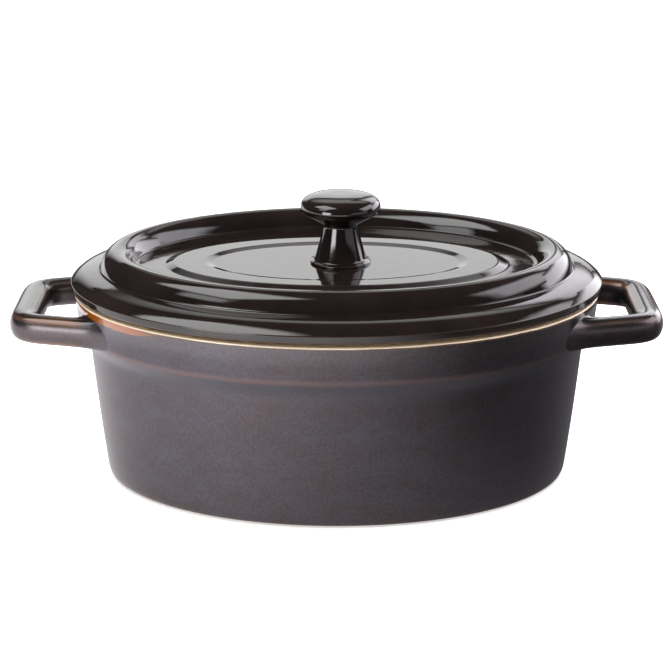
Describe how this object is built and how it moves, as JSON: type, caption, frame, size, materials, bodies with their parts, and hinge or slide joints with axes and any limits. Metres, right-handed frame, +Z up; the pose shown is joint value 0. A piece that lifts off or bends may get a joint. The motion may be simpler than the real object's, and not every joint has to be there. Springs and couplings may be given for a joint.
{
  "type": "covered oval casserole dish",
  "caption": "Oval stoneware oven dish with loop handles, and a lift-off lid with a raised ring, a sunken stepped top and a mushroom knob.",
  "frame": {"origin": "centre of the foot, on the surface that the dish stands on", "axes": "+Z up through the lid, X along the dish through both handles, Y across it"},
  "size_m": [0.3264, 0.2088, 0.1442],
  "materials": {
    "dish_glaze": "satin, semi-metallic dark brown grey",
    "handle_glaze": "gloss, dark brown breaking to amber on the edges",
    "lid_glaze": "high gloss, nearly black brown",
    "knob_glaze": "high gloss, nearly black brown"
  },
  "bodies": {
    "dish": {"dish_body": "dish_glaze", "left_handle": "handle_glaze", "right_handle": "handle_glaze"},
    "lid": {"lid_shell": "lid_glaze", "lid_locating_rim": "lid_glaze", "lid_knob": "knob_glaze"}
  },
  "joints": [
    {"name": "lid_lift", "type": "slide", "parent": "dish", "child": "lid", "axis": [0, 0, 1], "range_m": [0, 0.12]}
  ]
}
